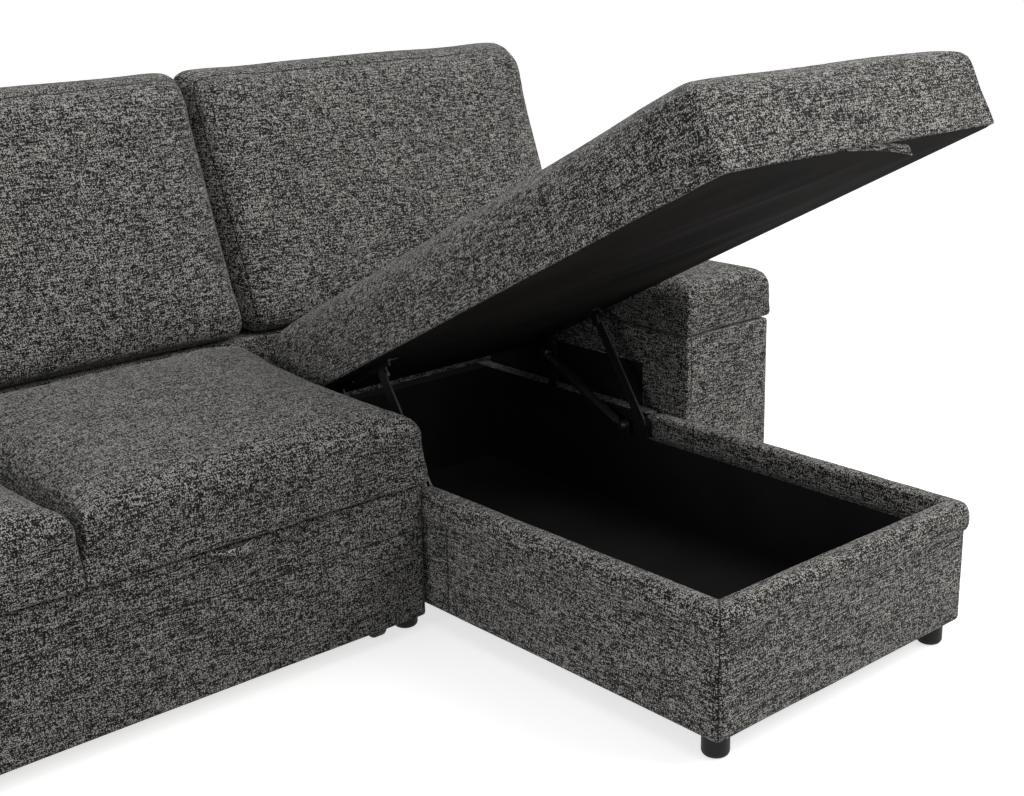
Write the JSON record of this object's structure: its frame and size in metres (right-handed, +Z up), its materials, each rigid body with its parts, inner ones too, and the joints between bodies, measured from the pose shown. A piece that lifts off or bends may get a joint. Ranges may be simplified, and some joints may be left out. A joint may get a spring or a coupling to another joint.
{
  "type": "storage sofa bed with lift-up chaise seat",
  "caption": "Corner sofa bed: padded backrest, arms with side pockets, a chaise whose sprung seat lifts off a storage box, and a rolling pull-out bed.",
  "frame": {"origin": "centre of the footprint, on the floor", "axes": "+X to the right as seen from the front, where the chaise is; +Y towards the backrest; +Z up"},
  "size_m": [2.55, 1.648, 1.0474],
  "materials": {
    "tweed": "matte",
    "black_lining": "matte",
    "black_steel": "satin",
    "black_plastic": "satin",
    "pine": "matte",
    "ticking": "matte"
  },
  "bodies": {
    "sofa": {"chaise_front_panel": "tweed", "chaise_left_panel": "tweed", "chaise_right_panel": "tweed", "chaise_rear_panel": "black_lining", "chaise_bottom": "black_lining", "chaise_lining": "black_lining", "rim_roll_front": "tweed", "rim_roll_left": "tweed", "rim_roll_right": "tweed", "chaise_legs": "black_plastic", "lift_base_plates": "black_steel", "lift_plate_screws": "black_steel", "base_pivot_pins": "black_steel", "spring_brackets": "black_steel", "seat_base_sides": "pine", "seat_front_beam": "pine", "seat_deck": "black_lining", "seat_cushion_middle": "tweed", "seat_cushion_left": "tweed", "back_base": "tweed", "backrest_frame": "tweed", "backrest_rear_cover": "tweed", "back_cushion_right": "tweed", "back_cushion_middle": "tweed", "back_cushion_left": "tweed", "right_arm_frame": "tweed", "right_arm_cap": "tweed", "right_arm_pocket": "tweed", "right_arm_lining": "black_lining", "left_arm_frame": "tweed", "left_arm_cap": "tweed", "left_arm_pocket": "tweed", "bottom_boards": "black_lining", "base_legs": "black_plastic", "joining_plates": "black_steel", "bed_guides": "black_steel"},
    "rear_links": {"rear_links": "black_steel", "spring_posts": "black_steel"},
    "front_links": {"front_links": "black_steel", "front_link_studs": "black_steel"},
    "spring_sleeves": {"spring_sleeves": "black_steel"},
    "spring_rods": {"spring_rods": "black_steel"},
    "lift_seat": {"lid_hinge_plates": "black_steel", "lid_pivot_pins": "black_steel", "lid_frame": "pine", "lid_cushion": "tweed", "lid_dust_cover": "black_lining", "lid_pull_loop": "tweed"},
    "bed": {"bed_front_board": "tweed", "bed_pull_tab": "tweed", "bed_side_rails": "black_steel", "bed_rear_rail": "black_steel", "bed_slats": "pine", "bed_mattress": "ticking", "roller_forks": "black_steel", "roller_axles": "black_steel"},
    "front_rollers": {"front_rollers": "black_plastic"},
    "rear_rollers": {"rear_rollers": "black_plastic"}
  },
  "joints": [
    {"name": "seat_lift", "type": "hinge", "parent": "sofa", "child": "rear_links", "pos_m": [0, 0.202, 0.246], "axis": [1, 0, 0], "range_deg": [-90, 0], "stiffness_Nm_per_rad": 10, "springref_deg": 171.89},
    {"name": "seat_on_rear_links", "type": "hinge", "parent": "rear_links", "child": "lift_seat", "pos_m": [0, 0.202, 0.371], "axis": [1, 0, 0], "range_deg": [0, 117.27]},
    {"name": "front_link_swing", "type": "hinge", "parent": "sofa", "child": "front_links", "pos_m": [0, -0.072, 0.246], "axis": [1, 0, 0], "range_deg": [-56.64, 0]},
    {"name": "spring_swing", "type": "hinge", "parent": "sofa", "child": "spring_sleeves", "pos_m": [0, -0.032, 0.24], "axis": [1, 0, 0], "range_deg": [-24.77, 0]},
    {"name": "spring_stretch", "type": "slide", "parent": "spring_sleeves", "child": "spring_rods", "axis": [0, 0.9005, 0.4349], "range_m": [0, 0.0813]},
    {"name": "bed_slide", "type": "slide", "parent": "sofa", "child": "bed", "axis": [0, -1, 0], "range_m": [0, 0.56]},
    {"name": "front_roller_spin", "type": "hinge", "parent": "bed", "child": "front_rollers", "pos_m": [0, -0.068, 0.025], "axis": [1, 0, 0], "range_deg": [0, 1283.9]},
    {"name": "rear_roller_spin", "type": "hinge", "parent": "bed", "child": "rear_rollers", "pos_m": [0, 0.41, 0.025], "axis": [1, 0, 0], "range_deg": [0, 1283.9]}
  ],
  "couplings": [
    {"joint": "seat_on_rear_links", "follows": "seat_lift", "ratio": -1.303},
    {"joint": "front_link_swing", "follows": "seat_lift", "ratio": 0.62927},
    {"joint": "spring_swing", "follows": "seat_lift", "ratio": 0.2752},
    {"joint": "spring_stretch", "follows": "seat_lift", "m_per_rad": -0.051692},
    {"joint": "front_roller_spin", "follows": "bed_slide", "rad_per_m": 40},
    {"joint": "rear_roller_spin", "follows": "bed_slide", "rad_per_m": 40}
  ]
}
